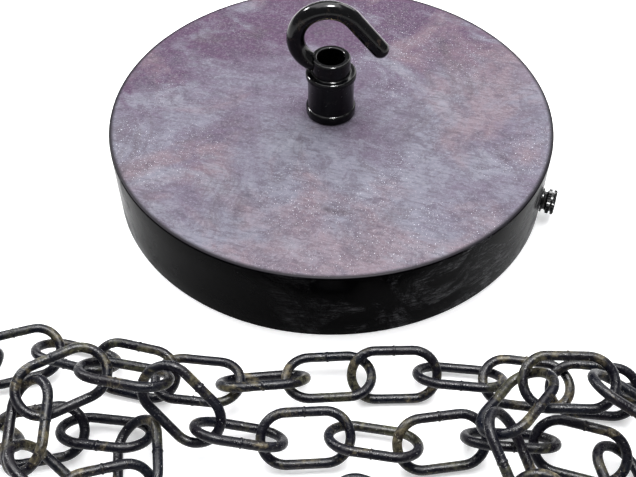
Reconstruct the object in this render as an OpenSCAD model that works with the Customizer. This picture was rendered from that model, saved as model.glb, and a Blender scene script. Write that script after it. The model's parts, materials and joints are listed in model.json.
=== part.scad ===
// Ceiling rose for a pendant lamp, with the loose chain that goes with it. Millimetres.
// The rose stands on its open side, as on a bench: z = 0 is the ceiling side of the cup
// and of the strap inside it, the hook points up, and the two side screws lie along X.

/* [Cup] */
// Outer diameter of the spun cup
rose_d = 140; // [120:1:160]
// Height of the cup from rim to top
rose_h = 25; // [22:0.5:32]
// Thickness of the sheet
sheet_t = 1; // [0.8:0.1:1.5]
// Radius of the edge between top and wall
edge_r = 0.6; // [0.3:0.1:1]

/* [Hook fitting] */
// Outer diameter of the fitting's body
fitting_d = 14.4; // [14:0.1:16]
// Outer diameter of its two ring mouldings
ring_d = 15.6; // [15:0.1:18]
// Outer diameter of the collar at its top
collar_d = 11.9; // [11.5:0.1:13]
// Height of the whole fitting
fitting_h = 20.8; // [20:0.2:24]
// Bore that the lamp cable leaves through
cable_d = 8.5; // [7:0.1:9]

/* [Hook] */
// Thickness of the hook's round rod
hook_wire_d = 5.5; // [4:0.1:6]
// Bend radius at the middle of the rod
hook_bend_r = 9.7; // [9:0.1:11]
// Direction the hook opens, turned from +X
hook_bearing = 17; // [0:1:45]

/* [Stem] */
// Outside diameter of the hollow threaded stem
stem_d = 10; // [9.8:0.1:10.2]
// Bore of the stem
stem_bore_d = 7; // [6:0.1:7.5]

/* [Side screws] */
// Thread diameter of the side screws
screw_d = 4; // [3:0.5:4]
// Outer diameter of the knurled head
screw_head_d = 7.8; // [7:0.1:9]
// Length of the knurled head
screw_head_l = 4.4; // [4:0.1:6]
// Height of the side screws above the ceiling side
screw_z = 6; // [5.5:0.1:8]

/* [Strap] */
// Width of the ceiling strap
strap_w = 16; // [14:1:20]
// Thickness of the strap
strap_t = 1.5; // [1.5:0.1:2]
// Distance between the middles of the two fixing slots
slot_spacing = 51; // [48:1:54]
// Width of a fixing slot
slot_w = 5; // [4.5:0.1:5.5]
// Length of a fixing slot, end to end
slot_l = 12; // [10:1:14]

/* [Chain] */
// Thickness of the chain's wire
wire_d = 2.6; // [2.4:0.1:2.7]
// Length of a link, outside
link_l = 25.6; // [25.4:0.1:25.8]
// Width of a link, outside
link_w = 15.6; // [15.4:0.1:15.8]
// Direction of the laid chain, turned from +X
chain_bearing = 17; // [10:1:25]

/* [Hidden] */
$fn = 96;
rose_r = rose_d / 2;
wall_r = rose_r - sheet_t;

// Fit and running gaps
run_gap = 0.05;
face_gap = 0.05;

// Fitting heights, counted from the top of the cup
base_ring_h = 3;
upper_ring_z = 13.4;
upper_ring_h = 2.1;
collar_chamfer = 0.5;
ring_round = 0.5;
socket_depth = 8;

// Stem and what clamps it under the cup's top
stem_top = rose_h + socket_depth - 0.5;
stem_bottom = rose_h - 11;
washer_d = 22;
washer_t = 1.2;
tooth_washer_d = 17;
tooth_washer_t = 0.8;
nut_af = 14;
nut_h = 3;
washer_z = rose_h - sheet_t - face_gap - washer_t;
tooth_washer_z = washer_z - tooth_washer_t;
nut_z = tooth_washer_z - nut_h;

// Hook: a round bend from the collar's side over to a straight tail
hook_side = -0.9;
hook_z = rose_h + 27.4;
tail_angle = 39;
root_angle = 250;
tail_l = 12.7;
tail_overlap = 0.3;

// Strap
strap_end = wall_r - 0.5;
ear_h = 11.5;
strap_hole_d = 12;
earth_x = 13.5;
earth_hole_d = 4;

// Side screws
shank_in = 9;
flange_t = 0.8;
neck_l = 1.1;
band_l = 1;
groove_d = 0.8;
knurl_n = 28;

// Link proportions
crown_r = (link_w - wire_d) / 2;
half_side = (link_l - link_w) / 2;
lift = 0.05;

// The way the chain lies: points that its middle runs through, from its first end. The
// straight run passes beside the rose. Each heap is one turn that lies over itself, and
// the large heap leans over the edge of the straight run as well.
ROUTE = [
    // the straight run
    [113, -100, 6], [95, -94, 6], [62, -91, 6], [30, -87, 6], [0, -88, 6], [-30, -91, 6],
    [-55, -87, 6],
    // the small heap, where the chain turns back
    [-72, -80, 6], [-88, -80, 6], [-98, -90, 6], [-96, -103, 6], [-84, -109, 6], [-70, -106, 6],
    [-57, -103, 6], [-46, -108, 6], [-44, -119, 6], [-54, -128, 6], [-69, -125, 12],
    [-77, -112, 20], [-71, -98, 20], [-56, -95, 20], [-43, -99, 20], [-32, -107, 11],
    // the way back along the front
    [-20, -109, 6], [-6, -105, 6], [8, -107, 6], [20, -109, 6],
    // the large heap, and the last stretch in front of it
    [32, -106, 6], [48, -107, 6], [63, -108, 6], [75, -114, 6], [76, -125, 6], [68, -134, 6],
    [55, -133, 8], [46, -124, 14], [40, -113, 20], [46, -100, 20], [60, -96, 20], [75, -101, 20],
    [88, -112, 13], [95, -126, 6], [94, -141, 6], [80, -150, 6], [60, -151, 6], [40, -144, 6],
    [24, -132, 6], [8, -124, 5], [-10, -122, 4]
];
links = 44;
slack_pitch = 17.6;

// How far each link of the straight run is turned about its length
RUN_ROLL = [-45, 40, -45, -10, 35, -45, 0, 45, 0, -45, 35];
roll = 45;
roll_slack = 8;
roll_step = 77;

// Length of leg i of the route, and the point a distance s beyond the start of leg i
function leg(i) = norm(ROUTE[i + 1] - ROUTE[i]);
function along(s, i = 0) =
    s > leg(i) && i < len(ROUTE) - 2
        ? along(s - leg(i), i + 1)
        : ROUTE[i] + (ROUTE[i + 1] - ROUTE[i]) * s / leg(i);

// Where link i meets the one before it. Off the straight run the links lean to one side
// and the other in turn, by an angle between roll - 2 * roll_slack and roll.
function meeting(i) = along(i * slack_pitch);
function lean(i) = i < len(RUN_ROLL)
    ? RUN_ROLL[i]
    : (i % 2 == 1 ? -1 : 1) * (roll - roll_slack * (1 + sin(roll_step * i)));
function link_name(i) = str("chain_link_", i < 9 ? "0" : "", i + 1);

ROSE_NODES = [
    "canopy_cup", "hook_fitting", "hook", "threaded_stem", "spread_washer", "tooth_washer",
    "lock_nut", "mounting_strap", "earth_screw", "earth_washer", "right_side_screw",
    "left_side_screw"
];

// A ring that stands on z = 0
module ring(outer, inner, h) {
    difference() {
        cylinder(d = outer, h = h);
        translate([0, 0, -1]) cylinder(d = inner, h = h + 2);
    }
}

// Shallow spun cup, open at z = 0, with a stem hole and two screw holes
module canopy_cup() {
    color([0.36, 0.33, 0.36]) difference() {
        rotate_extrude($fn = 180) polygon(concat(
            [[0, rose_h - sheet_t], [wall_r, rose_h - sheet_t], [wall_r, 0], [rose_r, 0]],
            [for (a = [0 : 22.5 : 90])
                [rose_r - edge_r + edge_r * cos(a), rose_h - edge_r + edge_r * sin(a)]],
            [[0, rose_h]]
        ));
        translate([0, 0, rose_h - sheet_t - 1])
            cylinder(d = stem_d + 2 * run_gap, h = sheet_t + 2);
        for (side = [-1, 1])
            translate([side * (wall_r - 2), 0, screw_z])
                rotate([0, side * 90, 0]) cylinder(d = screw_d + 2 * run_gap, h = sheet_t + 4);
    }
}

// Turned hollow fitting: base ring, body, upper ring and a narrower collar
module hook_fitting() {
    body_r = fitting_d / 2;
    ring_r = ring_d / 2;
    collar_r = collar_d / 2;
    ring_top = upper_ring_z + upper_ring_h;
    color([0.06, 0.06, 0.07]) translate([0, 0, rose_h + face_gap]) difference() {
        rotate_extrude() polygon([
            [0, 0], [ring_r - ring_round, 0], [ring_r, ring_round],
            [ring_r, base_ring_h - ring_round], [ring_r - ring_round, base_ring_h],
            [body_r, base_ring_h], [body_r, upper_ring_z], [ring_r - ring_round, upper_ring_z],
            [ring_r, upper_ring_z + ring_round], [ring_r, ring_top - ring_round],
            [ring_r - ring_round, ring_top], [collar_r, ring_top],
            [collar_r, fitting_h - collar_chamfer], [collar_r - collar_chamfer, fitting_h],
            [0, fitting_h]
        ]);
        translate([0, 0, -1]) cylinder(d = stem_d, h = socket_depth + 1);
        cylinder(d = cable_d, h = fitting_h + 1);
    }
}

// Bent rod, brazed to the side of the collar and open towards hook_bearing
module hook() {
    tail_x = hook_side + hook_bend_r * cos(tail_angle);
    tail_z = hook_z + hook_bend_r * sin(tail_angle);
    color([0.05, 0.05, 0.06]) rotate([0, 0, hook_bearing]) difference() {
        union() {
            translate([hook_side, 0, hook_z]) rotate([90, 0, 0])
                rotate([0, 0, tail_angle]) rotate_extrude(angle = root_angle - tail_angle)
                    translate([hook_bend_r, 0]) circle(d = hook_wire_d);
            translate([tail_x, 0, tail_z]) rotate([0, 180 - tail_angle, 0]) {
                translate([0, 0, -tail_overlap])
                    cylinder(d = hook_wire_d, h = tail_l + tail_overlap);
                translate([0, 0, tail_l]) sphere(d = hook_wire_d);
            }
        }
        translate([0, 0, rose_h]) cylinder(d = collar_d, h = fitting_h + 1);
    }
}

// Hollow threaded stem that joins the fitting to the cup
module threaded_stem() {
    color([0.75, 0.62, 0.3]) translate([0, 0, stem_bottom])
        ring(stem_d, stem_bore_d, stem_top - stem_bottom);
}

module spread_washer() {
    color([0.7, 0.7, 0.72]) translate([0, 0, washer_z]) ring(washer_d, stem_d, washer_t);
}

// Toothed washer with notches round its edge
module tooth_washer() {
    teeth = 12;
    color([0.6, 0.6, 0.62]) translate([0, 0, tooth_washer_z]) difference() {
        ring(tooth_washer_d, stem_d, tooth_washer_t);
        for (i = [0 : teeth - 1])
            rotate([0, 0, i * 360 / teeth]) translate([tooth_washer_d / 2, 0, -1])
                cylinder(d = 2, h = tooth_washer_t + 2);
    }
}

module lock_nut() {
    color([0.72, 0.6, 0.3]) translate([0, 0, nut_z]) difference() {
        cylinder(d = nut_af / cos(30), h = nut_h, $fn = 6);
        translate([0, 0, -1]) cylinder(d = stem_d, h = nut_h + 2);
    }
}

// A slot along X, cut through a plate on z = 0
module slot(length, width, depth) {
    run = length - width;
    for (s = [-1, 1]) translate([s * run / 2, 0, -1]) cylinder(d = width, h = depth + 2);
    translate([-run / 2, -width / 2, -1]) cube([run, width, depth + 2]);
}

// Flat strap with an upturned ear at each end, tapped for the side screws
module mounting_strap() {
    color([0.72, 0.73, 0.75]) difference() {
        union() {
            translate([-strap_end + 1.5, -strap_w / 2, 0])
                cube([2 * strap_end - 3, strap_w, strap_t]);
            for (side = [-1, 1])
                translate([side * (strap_end - 0.75 - strap_t / 2), 0, ear_h / 2])
                    cube([strap_t, strap_w, ear_h], center = true);
        }
        for (side = [-1, 1]) {
            translate([side * slot_spacing / 2, 0, 0]) slot(slot_l, slot_w, strap_t);
            translate([side * (strap_end - 5), 0, screw_z])
                rotate([0, side * 90, 0]) cylinder(d = screw_d + 2 * run_gap, h = 8);
        }
        translate([0, 0, -1]) cylinder(d = strap_hole_d, h = strap_t + 2);
        translate([earth_x, 0, -1]) cylinder(d = earth_hole_d, h = strap_t + 2);
    }
}

// Earth terminal: a cheese head screw in the strap, over a dished washer
module earth_screw() {
    head_z = strap_t + 1;
    color([0.8, 0.66, 0.3]) translate([earth_x, 0, 0]) difference() {
        union() {
            translate([0, 0, 0.2]) cylinder(d = earth_hole_d, h = head_z);
            translate([0, 0, head_z]) cylinder(d = 7, h = 2.4);
        }
        translate([-4, -0.5, head_z + 1.4]) cube([8, 1, 2]);
    }
}

module earth_washer() {
    color([0.8, 0.66, 0.3]) translate([earth_x, 0, strap_t]) ring(8.5, earth_hole_d, 1);
}

// Thumb screw of the cup's side, turned from one piece: a threaded shank, a thin flange,
// a flared neck and two knurled bands with a groove between
module side_screw(side) {
    r = screw_head_d / 2;
    band_1 = flange_t + neck_l;
    band_2 = screw_head_l - band_l;
    color([0.05, 0.05, 0.06]) translate([side * (rose_r + face_gap), 0, screw_z])
        rotate([0, side * 90, 0]) difference() {
            union() {
                translate([0, 0, -shank_in]) cylinder(d = screw_d, h = shank_in + flange_t / 2);
                rotate_extrude() polygon([
                    [0, 0], [r - 0.1, 0], [r - 0.1, flange_t * 0.6], [r - 1, flange_t],
                    [r - 1.1, band_1 - 0.5], [r, band_1], [r, band_1 + band_l],
                    [r - groove_d, band_1 + band_l], [r - groove_d, band_2], [r, band_2],
                    [r, screw_head_l - 0.3], [r - 0.3, screw_head_l], [0, screw_head_l]
                ]);
            }
            for (i = [0 : knurl_n - 1])
                rotate([0, 0, i * 360 / knurl_n]) translate([r + 0.15, 0, band_1 - 0.1])
                    cylinder(d = 0.7, h = screw_head_l, $fn = 4);
        }
}

// One plain welded link, lying flat along X
module link() {
    for (side = [-1, 1]) {
        translate([side * half_side, 0, 0]) rotate([0, 0, side > 0 ? -90 : 90])
            rotate_extrude(angle = 180) translate([crown_r, 0]) circle(d = wire_d, $fn = 48);
        translate([-half_side, side * crown_r, 0]) rotate([0, 90, 0])
            cylinder(d = wire_d, h = 2 * half_side, $fn = 48);
    }
}

// Link number i, laid from its first meeting point to its second
module chain_link(i) {
    first = meeting(i);
    way = meeting(i + 1) - first;
    color([0.13, 0.13, 0.15]) rotate([0, 0, chain_bearing])
        translate(first + way / 2 + [0, 0, lift])
            rotate([lean(i), -asin(way[2] / norm(way)), atan2(way[1], way[0])]) link();
}

canopy_cup();
hook_fitting();
hook();
threaded_stem();
spread_washer();
tooth_washer();
lock_nut();
mounting_strap();
earth_screw();
earth_washer();
side_screw(1);  // right_side_screw
side_screw(-1);  // left_side_screw
for (i = [0 : links - 1])
    chain_link(i);
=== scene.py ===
# A spun metal ceiling rose with its hook, and the loose chain that goes with it.
import json
import math

import bmesh
import bpy
import numpy
from mathutils import Matrix, Vector, noise


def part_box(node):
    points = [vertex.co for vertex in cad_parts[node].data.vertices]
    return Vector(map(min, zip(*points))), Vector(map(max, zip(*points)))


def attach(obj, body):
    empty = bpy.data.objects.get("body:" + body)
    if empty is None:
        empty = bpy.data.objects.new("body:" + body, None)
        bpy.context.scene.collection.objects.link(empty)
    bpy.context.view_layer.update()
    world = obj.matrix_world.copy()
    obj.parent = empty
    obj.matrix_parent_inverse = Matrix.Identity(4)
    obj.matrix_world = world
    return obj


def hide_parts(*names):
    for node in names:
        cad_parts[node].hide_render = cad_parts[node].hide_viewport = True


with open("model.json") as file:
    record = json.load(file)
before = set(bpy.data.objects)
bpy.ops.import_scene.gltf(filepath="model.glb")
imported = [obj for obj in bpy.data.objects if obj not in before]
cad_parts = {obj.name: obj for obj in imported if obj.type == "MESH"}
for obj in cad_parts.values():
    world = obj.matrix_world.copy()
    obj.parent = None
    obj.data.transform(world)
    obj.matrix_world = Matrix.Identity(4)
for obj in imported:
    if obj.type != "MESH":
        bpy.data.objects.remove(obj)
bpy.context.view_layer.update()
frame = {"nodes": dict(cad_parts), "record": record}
MM = 0.001

# ---------------------------------------------------------------- camera
# A short telephoto view from the front, above the chain, looking about 47 degrees down.
# The whole set was laid out 17 degrees round from the line of the side screws.
bench_turn = math.radians(17)
camera_pan = math.radians(1.08)
camera_tilt = math.radians(42.525)
camera_roll = math.radians(-0.38)
camera_place = (0.0663, -0.2170, 0.2121)
camera_data = bpy.data.cameras.new("bench_camera")
camera_data.lens = 51.81
camera_data.sensor_width = 36
camera = bpy.data.objects.new("bench_camera", camera_data)
camera_turn = Matrix.Rotation(bench_turn + camera_pan, 4, "Z")
camera_turn = camera_turn @ Matrix.Rotation(camera_tilt, 4, "X")
camera_turn = camera_turn @ Matrix.Rotation(camera_roll, 4, "Z")
camera.matrix_world = Matrix.Translation(camera_place) @ camera_turn
bpy.context.scene.collection.objects.link(camera)
bpy.context.scene.camera = camera

# ---------------------------------------------------------------- white bench and soft light
# The set lies on a softly lit white bench under one wide soft light, with a second one
# behind it. Two small bright lights show only as sharp highlights along rods and edges.
bench_size = 20.0
rose_middle = (0, 0, 0)
rose_front = (0, -0.05, 0)
bench_shape = bmesh.new()
bmesh.ops.create_grid(bench_shape, x_segments=1, y_segments=1, size=bench_size)
bench_mesh = bpy.data.meshes.new("white_bench")
bench_shape.to_mesh(bench_mesh)
bench_shape.free()
bench = bpy.data.objects.new("white_bench", bench_mesh)
bpy.context.scene.collection.objects.link(bench)
bench_paint = bpy.data.materials.new("white_bench_paint")
bench_paint.use_nodes = True
bench_shader = bench_paint.node_tree.nodes["Principled BSDF"]
bench_shader.inputs["Base Color"].default_value = (0.92, 0.92, 0.925, 1)
bench_shader.inputs["Roughness"].default_value = 0.9
bench_shader.inputs["Specular IOR Level"].default_value = 0.1
bench_shader.inputs["Emission Color"].default_value = (1, 1, 1, 1)
bench_shader.inputs["Emission Strength"].default_value = 0.36
bench_mesh.materials.append(bench_paint)


def soft_light(name, power, size, place, aim, highlight_only=False):
    """A square soft light at a place, pointed at a spot near the rose."""
    data = bpy.data.lights.new(name, "AREA")
    data.energy = power
    data.shape = "SQUARE"
    data.size = size
    light = bpy.data.objects.new(name, data)
    light.visible_diffuse = not highlight_only
    way = Vector(aim) - Vector(place)
    turn = way.to_track_quat("-Z", "Y").to_matrix().to_4x4()
    light.matrix_world = Matrix.Translation(place) @ turn
    bpy.context.scene.collection.objects.link(light)


soft_light("overhead_softbox", 25, 1.1, (-0.15, 0.25, 1.0), rose_middle)
soft_light("back_softbox", 5, 0.5, (0.25, 0.9, 0.55), rose_middle)
soft_light("overhead_sparkle", 30, 0.15, (0.1, -0.05, 0.9), rose_front, highlight_only=True)
soft_light("left_sparkle", 14, 0.13, (-0.75, 0.2, 0.6), rose_front, highlight_only=True)
world = bpy.data.worlds.new("pale_room")
world.use_nodes = True
world.node_tree.nodes["Background"].inputs["Color"].default_value = (0.96, 0.97, 1, 1)
world.node_tree.nodes["Background"].inputs["Strength"].default_value = 0.5
bpy.context.scene.world = world
bpy.context.scene.view_settings.view_transform = "Standard"

# ---------------------------------------------------------------- spun cup
# A shallow steel cup, spun over a form from 1 mm sheet, with a tight rounded edge. Its
# flat top has aged to a mottled grey-purple and its wall is near black with scratches,
# which at its sides also serve as a painted reflection.
cup_low, cup_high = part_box("canopy_cup")
cup_r = cup_high.x
cup_h = cup_high.z
sheet_t = 1.0 * MM
cup_edge_r = 0.7 * MM
inner_edge_r = 0.4 * MM
rim_edge_r = 0.3 * MM
top_rings_mm = (20, 40, 55, 65)
wall_rings_mm = (18, 12, 6)
cup_steps = 240
stem_hole_r = 5.05 * MM
screw_hole_r = 2.05 * MM
screw_hole_l = 6 * MM
screw_low, screw_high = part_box("right_side_screw")
screw_z = (screw_low.z + screw_high.z) / 2


def arc(centre_x, centre_z, radius, first, last, steps):
    """Points round an arc in the XZ plane, with angles in degrees from +X."""
    turns = [math.radians(first + (last - first) * i / steps) for i in range(steps + 1)]
    return [
        Vector((centre_x + radius * math.cos(a), 0, centre_z + radius * math.sin(a)))
        for a in turns
    ]


def turned(outline, steps):
    """A solid of revolution about Z from a closed outline in the XZ plane."""
    shape = bmesh.new()
    points = [shape.verts.new(p) for p in outline]
    edges = [shape.edges.new((points[i - 1], points[i])) for i in range(len(points))]
    bmesh.ops.spin(
        shape,
        geom=points + edges,
        cent=(0, 0, 0),
        axis=(0, 0, 1),
        angle=2 * math.pi,
        steps=steps,
        use_merge=True,
    )
    bmesh.ops.remove_doubles(shape, verts=shape.verts, dist=1e-7)
    bmesh.ops.recalc_face_normals(shape, faces=shape.faces)
    return shape


def piece(name, shape, smooth_below=35):
    """A new object from a bmesh, smooth except across edges sharper than an angle."""
    mesh = bpy.data.meshes.new(name)
    limit = math.radians(smooth_below)
    for face in shape.faces:
        face.smooth = True
    for edge in shape.edges:
        edge.smooth = len(edge.link_faces) == 2 and edge.calc_face_angle(0) < limit
    shape.to_mesh(mesh)
    shape.free()
    made = bpy.data.objects.new(name, mesh)
    bpy.context.scene.collection.objects.link(made)
    return made


def drilled(part, radius, length, place):
    """Cuts a round hole or a cylinder-shaped seat out of a piece."""
    drill_shape = bmesh.new()
    bmesh.ops.create_cone(
        drill_shape,
        cap_ends=True,
        segments=64,
        radius1=radius,
        radius2=radius,
        depth=length,
        matrix=place,
    )
    drill = piece("drill", drill_shape)
    cut = part.modifiers.new("drill", "BOOLEAN")
    cut.operation = "DIFFERENCE"
    cut.solver = "EXACT"
    cut.object = drill
    bpy.context.view_layer.update()
    seen = part.evaluated_get(bpy.context.evaluated_depsgraph_get())
    cut_mesh = bpy.data.meshes.new_from_object(seen)
    part.modifiers.clear()
    part.data = cut_mesh
    cut_mesh.name = part.name
    bpy.data.objects.remove(drill)


inner_r = cup_r - sheet_t
cup_outline = [Vector((stem_hole_r, 0, cup_h))]
cup_outline += [Vector((r * MM, 0, cup_h)) for r in top_rings_mm]
cup_outline += arc(cup_r - cup_edge_r, cup_h - cup_edge_r, cup_edge_r, 90, 0, 8)
cup_outline += [Vector((cup_r, 0, z * MM)) for z in wall_rings_mm]
cup_outline += arc(cup_r - rim_edge_r, rim_edge_r, rim_edge_r, 0, -90, 4)
cup_outline += arc(inner_r + rim_edge_r, rim_edge_r, rim_edge_r, -90, -180, 4)
cup_outline += [Vector((inner_r, 0, 12 * MM))]
cup_outline += arc(
    inner_r - inner_edge_r, cup_h - sheet_t - inner_edge_r, inner_edge_r, 0, 90, 4
)
cup_outline += [Vector((r, 0, cup_h - sheet_t)) for r in (30 * MM, stem_hole_r)]
spun_cup = piece("spun_cup", turned(cup_outline, cup_steps))
across = Matrix.Rotation(math.pi / 2, 4, "Y")
for side in (-1, 1):
    wall_place = Matrix.Translation((side * inner_r, 0, screw_z))
    drilled(spun_cup, screw_hole_r, screw_hole_l, wall_place @ across)


class Finish:
    """A node material: its shader, its Object coordinates and short ways to add nodes."""

    def __init__(self, name, metallic, roughness, shine):
        self.material = bpy.data.materials.new(name)
        self.material.use_nodes = True
        self.tree = self.material.node_tree
        self.shader = self.tree.nodes["Principled BSDF"]
        self.shader.inputs["Metallic"].default_value = metallic
        self.shader.inputs["Roughness"].default_value = roughness
        self.shader.inputs["Specular IOR Level"].default_value = shine
        self.place = self.tree.nodes.new("ShaderNodeTexCoord").outputs["Object"]

    def put(self, value, socket):
        """Links a node's output to a socket, or sets the socket to a plain value."""
        if isinstance(value, bpy.types.NodeSocket):
            self.tree.links.new(value, socket)
        else:
            socket.default_value = value

    def stretched(self, scale, turn=0):
        """Object coordinates scaled along each axis, after a turn about Z in degrees."""
        mapping = self.tree.nodes.new("ShaderNodeMapping")
        self.put(self.place, mapping.inputs["Vector"])
        mapping.inputs["Rotation"].default_value = (0, 0, math.radians(turn))
        mapping.inputs["Scale"].default_value = scale
        return mapping.outputs["Vector"]

    def clouds(self, per_metre, detail=4, roughness=0.5, warp=0, where=None):
        """Soft noise from 0 to 1, with that many blotches to a metre."""
        texture = self.tree.nodes.new("ShaderNodeTexNoise")
        self.put(where or self.place, texture.inputs["Vector"])
        texture.inputs["Scale"].default_value = per_metre
        texture.inputs["Detail"].default_value = detail
        texture.inputs["Roughness"].default_value = roughness
        texture.inputs["Distortion"].default_value = warp
        return texture.outputs["Fac"]

    def between(self, value, low, high, out_low=0.0, out_high=1.0):
        """A value stretched so that low to high becomes out_low to out_high, and held there."""
        ranged = self.tree.nodes.new("ShaderNodeMapRange")
        self.put(value, ranged.inputs["Value"])
        ends = {"From Min": low, "From Max": high, "To Min": out_low, "To Max": out_high}
        for name, number in ends.items():
            ranged.inputs[name].default_value = number
        return ranged.outputs["Result"]

    def maths(self, kind, a, b=0.0):
        """One sum on one or two values."""
        sums = self.tree.nodes.new("ShaderNodeMath")
        sums.operation = kind
        self.put(a, sums.inputs[0])
        self.put(b, sums.inputs[1])
        return sums.outputs[0]

    def mixed(self, share, first, second):
        """Two colours mixed by a share."""
        mix = self.tree.nodes.new("ShaderNodeMix")
        mix.data_type = "RGBA"
        self.put(share, mix.inputs[0])
        for socket, colour in ((mix.inputs[6], first), (mix.inputs[7], second)):
            self.put(colour if isinstance(colour, bpy.types.NodeSocket) else (*colour, 1), socket)
        return mix.outputs[2]

    def axis(self, name):
        """How far along X, Y or Z a spot lies, in metres."""
        parts = self.tree.nodes.new("ShaderNodeSeparateXYZ")
        self.put(self.place, parts.inputs[0])
        return parts.outputs[name]

    def coloured(self, colour):
        """Gives the shader its colour."""
        self.put(colour, self.shader.inputs["Base Color"])

    def roughened(self, roughness):
        """Gives the shader its roughness."""
        self.put(roughness, self.shader.inputs["Roughness"])

    def bumped(self, height, depth_mm):
        """Raises the surface by a height from 0 to 1, times a depth in millimetres."""
        bump = self.tree.nodes.new("ShaderNodeBump")
        bump.inputs["Strength"].default_value = 1
        bump.inputs["Distance"].default_value = depth_mm * MM
        self.put(height, bump.inputs["Height"])
        self.put(bump.outputs["Normal"], self.shader.inputs["Normal"])


def aged_top_steel():
    """Mottled grey-purple steel with brushed streaks, nicks painted white as glints and a dark
    line at the edge.
    """
    bare_grey, bloom_purple = (0.156, 0.152, 0.190), (0.076, 0.044, 0.080)
    blush_pink, pale_blue = (0.170, 0.124, 0.144), (0.190, 0.192, 0.228)
    stain_brown, mottle_plum = (0.070, 0.055, 0.066), (0.066, 0.052, 0.076)
    streak_dark, grain_light = (0.042, 0.035, 0.048), (0.26, 0.25, 0.29)
    nick_glint_white, edge_black = (0.8, 0.81, 0.88), (0.012, 0.010, 0.014)
    steel = Finish("aged_top_steel", 0.0, 0.5, 0.05)
    x, y = steel.axis("X"), steel.axis("Y")
    squares = steel.maths("ADD", steel.maths("MULTIPLY", x, x), steel.maths("MULTIPLY", y, y))
    from_axis = steel.maths("SQRT", squares)
    # purple bloom, strongest at the back left, under bluish and pinkish clouds
    towards_back, towards_right = steel.maths("MULTIPLY", y, 2.2), steel.maths("MULTIPLY", x, 1.6)
    towards_left = steel.maths("SUBTRACT", towards_back, towards_right)
    bloom = steel.maths("ADD", steel.clouds(17, 7, 0.66, 0.5), towards_left)
    top = steel.mixed(steel.between(bloom, 0.4, 0.6), bare_grey, bloom_purple)
    blush = steel.clouds(24, 6, 0.64, 0.8, steel.stretched((1, 1, 1), 50))
    top = steel.mixed(steel.between(blush, 0.52, 0.63, 0, 0.75), top, blush_pink)
    pale = steel.clouds(40, 8, 0.7, 0.4, steel.stretched((1, 1.5, 1), 30))
    top = steel.mixed(steel.between(pale, 0.52, 0.64, 0, 0.7), top, pale_blue)
    stain = steel.clouds(34, 8, 0.74, 1.2, steel.stretched((1.3, 1, 1), 70))
    stain = steel.between(stain, 0.53, 0.7, 0, 0.8)
    top = steel.mixed(stain, top, stain_brown)
    mottle = steel.between(steel.clouds(140, 10, 0.8, 0.6), 0.49, 0.58, 0, 0.5)
    top = steel.mixed(mottle, top, mottle_plum)
    # fine brushed streaks and grain, and bright nicks that come in groups, painted near white:
    # partly real nicks, partly painted glints
    streaks = steel.clouds(560, 5, 0.75, 0.2, steel.stretched((0.35, 1.6, 1), -20))
    grain = steel.clouds(1500, 3, 0.75)
    top = steel.mixed(steel.between(streaks, 0.45, 0.66, 0, 0.5), top, streak_dark)
    top = steel.mixed(steel.between(grain, 0.5, 0.74, 0, 0.45), top, grain_light)
    groups = steel.clouds(30, 3, 0.6, 0, steel.stretched((1, 1, 1), 10))
    groups = steel.between(groups, 0.5, 0.62, 0.15, 1)
    nick_glints = steel.clouds(3400, 1, 0.4, 0, steel.stretched((1, 0.6, 1), 15))
    nick_glints = steel.between(nick_glints, 0.69, 0.74, 0, 0.8)
    top = steel.mixed(steel.maths("MULTIPLY", nick_glints, groups), top, nick_glint_white)
    # a narrow band just inside the rim is painted darker
    rim_dark_band = steel.between(from_axis, cup_r - 1.7 * MM, cup_r - 0.7 * MM)
    steel.coloured(steel.mixed(rim_dark_band, top, edge_black))
    steel.roughened(steel.between(stain, 0, 0.8, 0.44, 0.6))
    relief = steel.maths("ADD", steel.maths("MULTIPLY", grain, 0.3), steel.clouds(160, 4, 0.6))
    steel.bumped(relief, 0.06)
    return steel.material


def scratched_and_sheen_wall_black():
    """Near black wall with long shallow scratches that run round it, in rubbed patches, kept off
    its front and back middle so that at its sides they also paint a reflection.
    """
    wall_black, scratch_and_sheen_grey = (0.0004, 0.0004, 0.0006), (0.17, 0.17, 0.18)
    metres_round_a_radian = 0.014
    black = Finish("scratched_and_sheen_wall_black", 0.0, 0.3, 0.01)
    x, y, z = black.axis("X"), black.axis("Y"), black.axis("Z")
    round_wall = black.tree.nodes.new("ShaderNodeCombineXYZ")
    turn = black.maths("ARCTAN2", y, x)
    black.put(black.maths("MULTIPLY", turn, metres_round_a_radian), round_wall.inputs[0])
    black.put(z, round_wall.inputs[1])
    scratches = black.between(black.clouds(780, 9, 0.82, 1.6, round_wall.outputs[0]), 0.46, 0.72)
    rubbed = black.between(black.clouds(46, 8, 0.74, 0.8), 0.49, 0.64)
    # the front and back of the wall, a little left of the middle, are hardly rubbed, so the grey
    # scratches stay at the sides, where they are partly real scratches and partly a painted
    # reflection
    off_middle = black.maths("ABSOLUTE", black.maths("ADD", x, 0.01))
    off_middle = black.between(off_middle, 0.012, 0.055, 0.04, 1)
    scratches_and_sheen = black.maths("MULTIPLY", black.maths("MULTIPLY", scratches, rubbed), off_middle)
    black.coloured(black.mixed(scratches_and_sheen, wall_black, scratch_and_sheen_grey))
    black.roughened(black.between(rubbed, 0, 1, 0.2, 0.4))
    black.bumped(black.clouds(160, 4, 0.6), 0.05)
    return black.material


spun_cup.data.materials.append(aged_top_steel())
spun_cup.data.materials.append(scratched_and_sheen_wall_black())
for face in spun_cup.data.polygons:
    on_top = face.normal.z > 0.7 and face.center.z > cup_h - cup_edge_r
    face.material_index = 0 if on_top else 1
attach(spun_cup, "rose")
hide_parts("canopy_cup")

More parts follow.
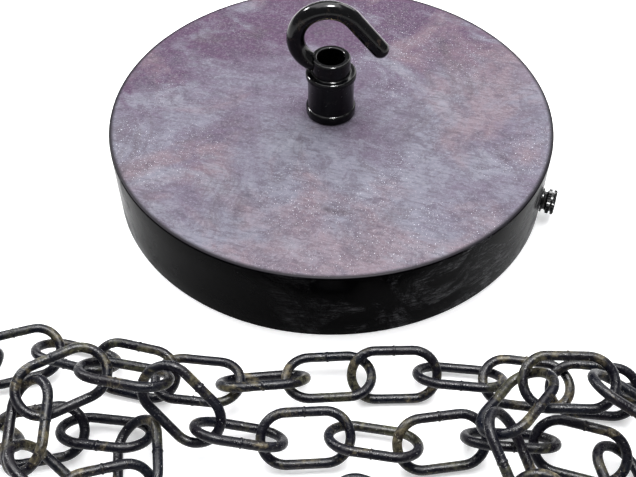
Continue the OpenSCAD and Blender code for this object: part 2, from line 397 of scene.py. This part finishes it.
# ---------------------------------------------------------------- turned hook fitting
# A hollow steel turning in gloss black: a base ring, a plain body, an upper ring and a
# narrower collar. The stem screws into the 10 mm socket at its foot.
fitting_low, fitting_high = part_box("hook_fitting")
ring_r = fitting_high.x
foot_z = fitting_low.z
body_r = 7.2 * MM
collar_r = 5.95 * MM
base_ring_h = 3 * MM
upper_ring_z = 13.4 * MM
upper_ring_h = 2.1 * MM
cable_bore_r = 4.25 * MM
socket_r = 5 * MM
socket_h = 8 * MM
bead_r = 0.6 * MM
fillet_r = 0.3 * MM
collar_edge_r = 0.45 * MM
bore_edge_r = 0.4 * MM


def moulding(low, high):
    """The outside of a ring moulding with rounded edges."""
    lower_edge = arc(ring_r - bead_r, low + bead_r, bead_r, -90, 0, 5)
    return lower_edge + arc(ring_r - bead_r, high - bead_r, bead_r, 0, 90, 5)


base_top = foot_z + base_ring_h
upper_low, upper_high = foot_z + upper_ring_z, foot_z + upper_ring_z + upper_ring_h
fitting_outline = [Vector((socket_r, 0, foot_z))]
fitting_outline += moulding(foot_z, base_top)
fitting_outline += arc(body_r + fillet_r, base_top + fillet_r, fillet_r, 270, 180, 3)
fitting_outline += arc(body_r + fillet_r, upper_low - fillet_r, fillet_r, 180, 90, 3)
fitting_outline += moulding(upper_low, upper_high)
fitting_outline += arc(collar_r + fillet_r, upper_high + fillet_r, fillet_r, 270, 180, 3)
fitting_outline += arc(
    collar_r - collar_edge_r, fitting_high.z - collar_edge_r, collar_edge_r, 0, 90, 5
)
fitting_outline += arc(
    cable_bore_r + bore_edge_r, fitting_high.z - bore_edge_r, bore_edge_r, 90, 180, 5
)
fitting_outline += [Vector((r, 0, foot_z + socket_h)) for r in (cable_bore_r, socket_r)]
turned_fitting = piece("turned_fitting", turned(fitting_outline, 128), 50)


def gloss_black(name, roughness, speckle_mm, rub_colour):
    """Baked black finish, a little uneven, with dusty specks and rubbed warm spots."""
    coat_black, dust_grey = (0.0008, 0.0008, 0.0012), (0.35, 0.34, 0.33)
    black = Finish(name, 0.0, roughness, 0.17)
    rubbed = black.between(black.clouds(330, 6, 0.7), 0.56, 0.76)
    colour = black.mixed(rubbed, coat_black, rub_colour)
    specks = black.between(black.clouds(1.0 / (speckle_mm * MM), 1, 0.4), 0.79, 0.83)
    black.coloured(black.mixed(specks, colour, dust_grey))
    uneven = black.clouds(300, 4, 0.6)
    black.roughened(black.between(uneven, 0.3, 0.7, roughness - 0.06, roughness + 0.1))
    black.bumped(black.clouds(420, 4, 0.6), 0.02)
    return black.material


fitting_black = gloss_black("fitting_black", 0.12, 0.25, (0.016, 0.014, 0.013))
turned_fitting.data.materials.append(fitting_black)
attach(turned_fitting, "hook_stem")
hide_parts("hook_fitting")

# ---------------------------------------------------------------- bent hook
# One 5.5 mm rod, brazed to the collar's side, bent over in a round and left straight for
# its last part. Its tip is rounded. The bend's foot is cut to sit round the collar.
rod_r = 2.75 * MM
bend_r = 9.7 * MM
bend_x = -0.9 * MM
bend_z = 52.4 * MM
root_angle = 250
tail_angle = 39
tail_l = 12.7 * MM
rod_sides = 40
bend_steps = 72
tail_steps = 6
tip_steps = 8
tip_flat = 0.02
collar_cut_l = 10 * MM
collar_cut_drop = 4.05 * MM


def carried(shape, loop, vec):
    """Extrudes a loop of edges along a vector and returns the new loop of edges."""
    grown = bmesh.ops.extrude_edge_only(shape, edges=loop)["geom"]
    verts = [g for g in grown if isinstance(g, bmesh.types.BMVert)]
    bmesh.ops.translate(shape, vec=vec, verts=verts)
    edges = [g for g in grown if isinstance(g, bmesh.types.BMEdge)]
    return [e for e in edges if e.verts[0] in verts and e.verts[1] in verts]


def swollen(shape, loop, factor):
    """Scales a loop of edges about its own middle."""
    verts = list({v for e in loop for v in e.verts})
    middle = sum((v.co for v in verts), Vector()) / len(verts)
    bmesh.ops.scale(shape, vec=(factor,) * 3, space=Matrix.Translation(-middle), verts=verts)


def rod_loop(shape, radius, segments, place):
    """A loop of edges round a rod whose length runs along the place's Z."""
    bmesh.ops.create_circle(shape, cap_ends=False, segments=segments, radius=radius, matrix=place)
    return list(shape.edges)


rod = bmesh.new()
bend_centre = Vector((bend_x, 0, bend_z))
root = math.radians(root_angle)
root_middle = bend_centre + bend_r * Vector((math.cos(root), 0, math.sin(root)))
root_place = Matrix.Translation(root_middle) @ Matrix.Rotation(-root, 4, "Y")
loop = rod_loop(rod, rod_r, rod_sides, root_place)
bmesh.ops.holes_fill(rod, edges=loop, sides=0)
bent = bmesh.ops.spin(
    rod,
    geom=loop,
    cent=bend_centre,
    axis=(0, 1, 0),
    angle=math.radians(root_angle - tail_angle),
    steps=bend_steps,
    use_duplicate=False,
)
loop = [g for g in bent["geom_last"] if isinstance(g, bmesh.types.BMEdge)]
tail_slope = math.radians(180 - tail_angle)
tail_way = Vector((math.sin(tail_slope), 0, math.cos(tail_slope)))
for i in range(tail_steps):
    loop = carried(rod, loop, tail_way * tail_l / tail_steps)
for i in range(tip_steps):
    here, there = math.pi / 2 * i / tip_steps, math.pi / 2 * (i + 1) / tip_steps
    loop = carried(rod, loop, tail_way * rod_r * (math.sin(there) - math.sin(here)))
    swollen(rod, loop, max(math.cos(there), tip_flat) / math.cos(here))
bmesh.ops.holes_fill(rod, edges=loop, sides=0)
opening_turn = Matrix.Rotation(bench_turn, 3, "Z")
bmesh.ops.rotate(rod, verts=rod.verts, cent=(0, 0, 0), matrix=opening_turn)
bmesh.ops.recalc_face_normals(rod, faces=rod.faces)
bent_hook = piece("bent_hook", rod)
collar_place = Matrix.Translation((0, 0, fitting_high.z - collar_cut_drop))
drilled(bent_hook, collar_r, collar_cut_l, collar_place)
bent_hook.data.materials.append(gloss_black("hook_black", 0.14, 0.2, (0.04, 0.028, 0.022)))
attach(bent_hook, "hook_stem")
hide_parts("hook")

# ---------------------------------------------------------------- side thumb screws
# Turned M4 thumb screws in black: a thin flange, a flared neck and two knurled bands
# with a groove between. They run through the cup's wall into the strap's ears.
head_r = (screw_high.z - screw_low.z) / 2
knurl_depth = 0.28 * MM
knurl_count = 28
face_gap = 0.05 * MM
shank_l = 9 * MM
shank_r = 2.0 * MM
shank_tip_r = 1.7 * MM
shank_chamfer_z = -8.8 * MM
thread_pitch = 0.7 * MM
thread_turns = 11
thread_root_r = 1.72 * MM
first_crest_z = -8.6 * MM
dimple_z = 4.3 * MM
dimple_r = 1.2 * MM
# The head from its flange out: height, and how far inside its full radius, in millimetres.
# It is knurled where the radius is full.
head_profile_mm = (
    (0, 0.3), (0.12, 0.1), (0.45, 0.1), (0.75, 0.95), (1.3, 1.1), (1.75, 0.6), (1.9, 0),
    (2.85, 0), (2.9, 0.8), (3.4, 0.8), (3.45, 0), (4.1, 0), (4.4, 0.4), (4.4, 1.2),
)


def thumb_screw():
    """A thumb screw along +Z, its head's inner face on z = 0."""
    shape = bmesh.new()
    loop = rod_loop(shape, shank_tip_r, 4 * knurl_count, Matrix.Translation((0, 0, -shank_l)))
    bmesh.ops.holes_fill(shape, edges=loop, sides=0)
    z = -shank_l
    levels = [(shank_chamfer_z, shank_r, False)]
    for i in range(thread_turns):
        crest_z = first_crest_z + i * thread_pitch
        levels += [(crest_z + 0.25 * thread_pitch, thread_root_r, False)]
        levels += [(crest_z + 0.6 * thread_pitch, shank_r, False)]
    levels += [(0, shank_r, False)]
    levels += [(h * MM, head_r - inset * MM, inset == 0) for h, inset in head_profile_mm]
    levels += [(dimple_z, dimple_r, False)]
    for level, radius, knurled in levels:
        loop = carried(shape, loop, (0, 0, level - z))
        z = level
        for vert in {v for e in loop for v in e.verts}:
            turn = math.atan2(vert.co.y, vert.co.x)
            dip = knurl_depth * (0.5 + 0.5 * math.cos(knurl_count * turn)) * knurled
            reach = radius - dip
            vert.co.x, vert.co.y = reach * math.cos(turn), reach * math.sin(turn)
    bmesh.ops.holes_fill(shape, edges=loop, sides=0)
    bmesh.ops.recalc_face_normals(shape, faces=shape.faces)
    return shape


screw_black = gloss_black("thumb_screw_black", 0.22, 0.18, (0.05, 0.045, 0.04))
for side, word in ((1, "right"), (-1, "left")):
    screw_shape = thumb_screw()
    seat = Matrix.Translation((side * (cup_r + face_gap), 0, screw_z))
    seat = seat @ Matrix.Rotation(side * math.pi / 2, 4, "Y")
    bmesh.ops.transform(screw_shape, matrix=seat, verts=screw_shape.verts)
    screw = piece(word + "_thumb_screw", screw_shape, 40)
    screw.data.materials.append(screw_black)
    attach(screw, word + "_screw")
    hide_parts(word + "_side_screw")

# ---------------------------------------------------------------- strap and what is under the cup
# A zinc plated strap with an earth screw, and the brass stem with its washers and nut.
# They keep the shapes that the frame gives them.


def zinc_plate():
    """Bright zinc: fine brushed lines and faint cloudy tarnish."""
    dull_zinc, bright_zinc = (0.55, 0.57, 0.6), (0.72, 0.73, 0.74)
    zinc = Finish("zinc_plate", 1.0, 0.35, 0.5)
    haze = zinc.clouds(90, 5, 0.6)
    zinc.coloured(zinc.mixed(haze, dull_zinc, bright_zinc))
    brushed = zinc.clouds(200, 3, 0.5, 0, zinc.stretched((0.15, 6, 6)))
    zinc.roughened(zinc.between(brushed, 0.3, 0.7, 0.26, 0.46))
    zinc.bumped(brushed, 0.02)
    return zinc.material


def turned_brass():
    """Machined brass with fine turning lines, dulled in patches."""
    bright_brass, dull_brass = (0.72, 0.56, 0.27), (0.45, 0.33, 0.16)
    brass = Finish("turned_brass", 1.0, 0.3, 0.5)
    dulled = brass.between(brass.clouds(150, 4, 0.6), 0.4, 0.7)
    brass.coloured(brass.mixed(dulled, bright_brass, dull_brass))
    lines = brass.clouds(300, 2, 0.5, 0, brass.stretched((0.5, 0.5, 12)))
    brass.roughened(brass.between(lines, 0.3, 0.7, 0.22, 0.42))
    brass.bumped(lines, 0.02)
    return brass.material


for metal, names in (
    (zinc_plate(), ("mounting_strap", "spread_washer", "tooth_washer")),
    (turned_brass(), ("threaded_stem", "lock_nut", "earth_screw", "earth_washer")),
):
    for name in names:
        slots = frame["nodes"][name].data.materials
        slots.clear()
        slots.append(metal)

# ---------------------------------------------------------------- chain
# Lamp chain of 2.6 mm steel wire: each link is bent to an oval and butt welded in the
# middle of one side, which leaves a small raised ring. Blue-black, rubbed to brown-brass.
link_names = sorted(n for n in frame["nodes"] if n.startswith("chain_link_"))
wire_r = 1.3 * MM
crown_r = 6.5 * MM
half_side = 5.0 * MM
wire_sides = 20
crown_steps = 22
side_steps = 5
# The wire on each side of the weld: place along the link in millimetres, and how far the
# wire is swollen or drawn in there.
weld_swell = 1.12
past_weld = ((0.18, 1.11), (0.34, 0.99), (0.7, 0.985), (1.6, 1.0), (3.2, 1.0), (5.0, 1.0))
up_to_weld = ((-3.2, 1.0), (-1.6, 1.0), (-0.75, 0.985), (-0.38, 0.99), (-0.2, 1.1))
dents_per_metre = 260
dent_mm = 0.03


def loop_radius(loop):
    """The mean radius of a loop of edges."""
    verts = {v for e in loop for v in e.verts}
    middle = sum((v.co for v in verts), Vector()) / len(verts)
    return sum((v.co - middle).length for v in verts) / len(verts)


def crown(shape, loop, centre_x):
    """Carries a loop half way round a link's end."""
    bent = bmesh.ops.spin(
        shape,
        geom=loop,
        cent=(centre_x, 0, 0),
        axis=(0, 0, 1),
        angle=-math.pi,
        steps=crown_steps,
        use_duplicate=False,
    )
    return [g for g in bent["geom_last"] if isinstance(g, bmesh.types.BMEdge)]


def welded_side(shape, loop, x, places):
    """Carries a loop on from x along the welded side, with the radius that each place has."""
    for place, swell in places:
        loop = carried(shape, loop, (place * MM - x, 0, 0))
        swollen(shape, loop, swell * wire_r / loop_radius(loop))
        x = place * MM
    return loop


def welded_link():
    """A link along X, flat on Z, with its weld in the middle of the side at +Y."""
    shape = bmesh.new()
    start = Matrix.Translation((0, crown_r, 0)) @ Matrix.Rotation(math.pi / 2, 4, "Y")
    first = rod_loop(shape, wire_r, wire_sides, start)
    swollen(shape, first, weld_swell)
    loop = welded_side(shape, first, 0, past_weld)
    loop = crown(shape, loop, half_side)
    for i in range(side_steps):
        loop = carried(shape, loop, (-2 * half_side / side_steps, 0, 0))
    loop = crown(shape, loop, -half_side)
    loop = welded_side(shape, loop, -half_side, up_to_weld)
    bmesh.ops.bridge_loops(shape, edges=loop + first)
    bmesh.ops.recalc_face_normals(shape, faces=shape.faces)
    return shape


def link_place(node):
    """Where a link lies: its middle, and its long, wide and thin directions as a matrix."""
    mesh = node.data
    mesh.calc_loop_triangles()
    corners = numpy.array([[mesh.vertices[v].co for v in t.vertices] for t in mesh.loop_triangles])
    middles = corners.mean(1)
    sides = corners[:, 1] - corners[:, 0], corners[:, 2] - corners[:, 0]
    areas = numpy.linalg.norm(numpy.cross(*sides), axis=1)
    centre = (middles * areas[:, None]).sum(0) / areas.sum()
    away = middles - centre
    spread = (away * areas[:, None]).T @ away
    _, ways = numpy.linalg.eigh(spread)
    long, wide = Vector(ways[:, 2]), Vector(ways[:, 1])
    if wide.z < 0:
        wide = -wide
    if long.x < 0:
        long = -long
    thin = long.cross(wide)
    place = Matrix((long, wide, thin)).transposed().to_4x4()
    place.translation = Vector(centre)
    return place


def blued_chain_steel():
    """Blue-black steel wire with olive and brass rub marks, pale worn spots in them that are
    partly painted golden glints, and bright specks.
    """
    blue_black, violet_black = (0.0016, 0.0026, 0.0070), (0.0034, 0.0024, 0.0054)
    olive, brass_brown = (0.064, 0.063, 0.034), (0.170, 0.138, 0.078)
    worn_glint_pale, speck_grey = (0.52, 0.49, 0.40), (0.5, 0.5, 0.48)
    steel = Finish("blued_chain_steel", 0.0, 0.3, 0.14)
    tint = steel.between(steel.clouds(90, 3, 0.5), 0.35, 0.65)
    colour = steel.mixed(tint, blue_black, violet_black)
    patch = steel.between(steel.clouds(64, 7, 0.74, 0.8), 0.525, 0.62)
    flecks = steel.between(steel.clouds(620, 5, 0.74), 0.4, 0.62)
    rub = steel.maths("MULTIPLY", patch, steel.between(flecks, 0, 1, 0.18, 1))
    hue = steel.between(steel.clouds(48, 2, 0.5), 0.42, 0.6)
    colour = steel.mixed(rub, colour, steel.mixed(hue, olive, brass_brown))
    # pale spots inside the rub marks: partly wear, partly painted golden glints
    worn_glints = steel.between(steel.clouds(1250, 4, 0.75, 0.3), 0.62, 0.72)
    worn_glints = steel.maths("MULTIPLY", worn_glints, steel.between(patch, 0, 1, 0.1, 0.9))
    colour = steel.mixed(worn_glints, colour, worn_glint_pale)
    specks = steel.between(steel.clouds(2900, 1, 0.4), 0.75, 0.81)
    steel.coloured(steel.mixed(specks, colour, speck_grey))
    steel.roughened(steel.between(flecks, 0, 1, 0.2, 0.42))
    relief = steel.maths("ADD", steel.clouds(1100, 5, 0.72), steel.clouds(220, 3, 0.5))
    steel.bumped(relief, 0.13)
    return steel.material


chain_look = blued_chain_steel()
bodies = frame["record"]["behaviour"]["bodies"]
node_body = {node: body for body, nodes in bodies.items() for node in nodes}
for number, node_name in enumerate(link_names, 1):
    link_shape = welded_link()
    place = link_place(frame["nodes"][node_name])
    bmesh.ops.transform(link_shape, matrix=place, verts=link_shape.verts)
    for vert in link_shape.verts:
        unevenness = noise.noise(vert.co * dents_per_metre + Vector((number, 0, 0)))
        vert.co += vert.normal * unevenness * dent_mm * MM
    link = piece("welded_link_%02d" % number, link_shape, 40)
    link.data.materials.append(chain_look)
    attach(link, node_body[node_name])
    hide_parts(node_name)
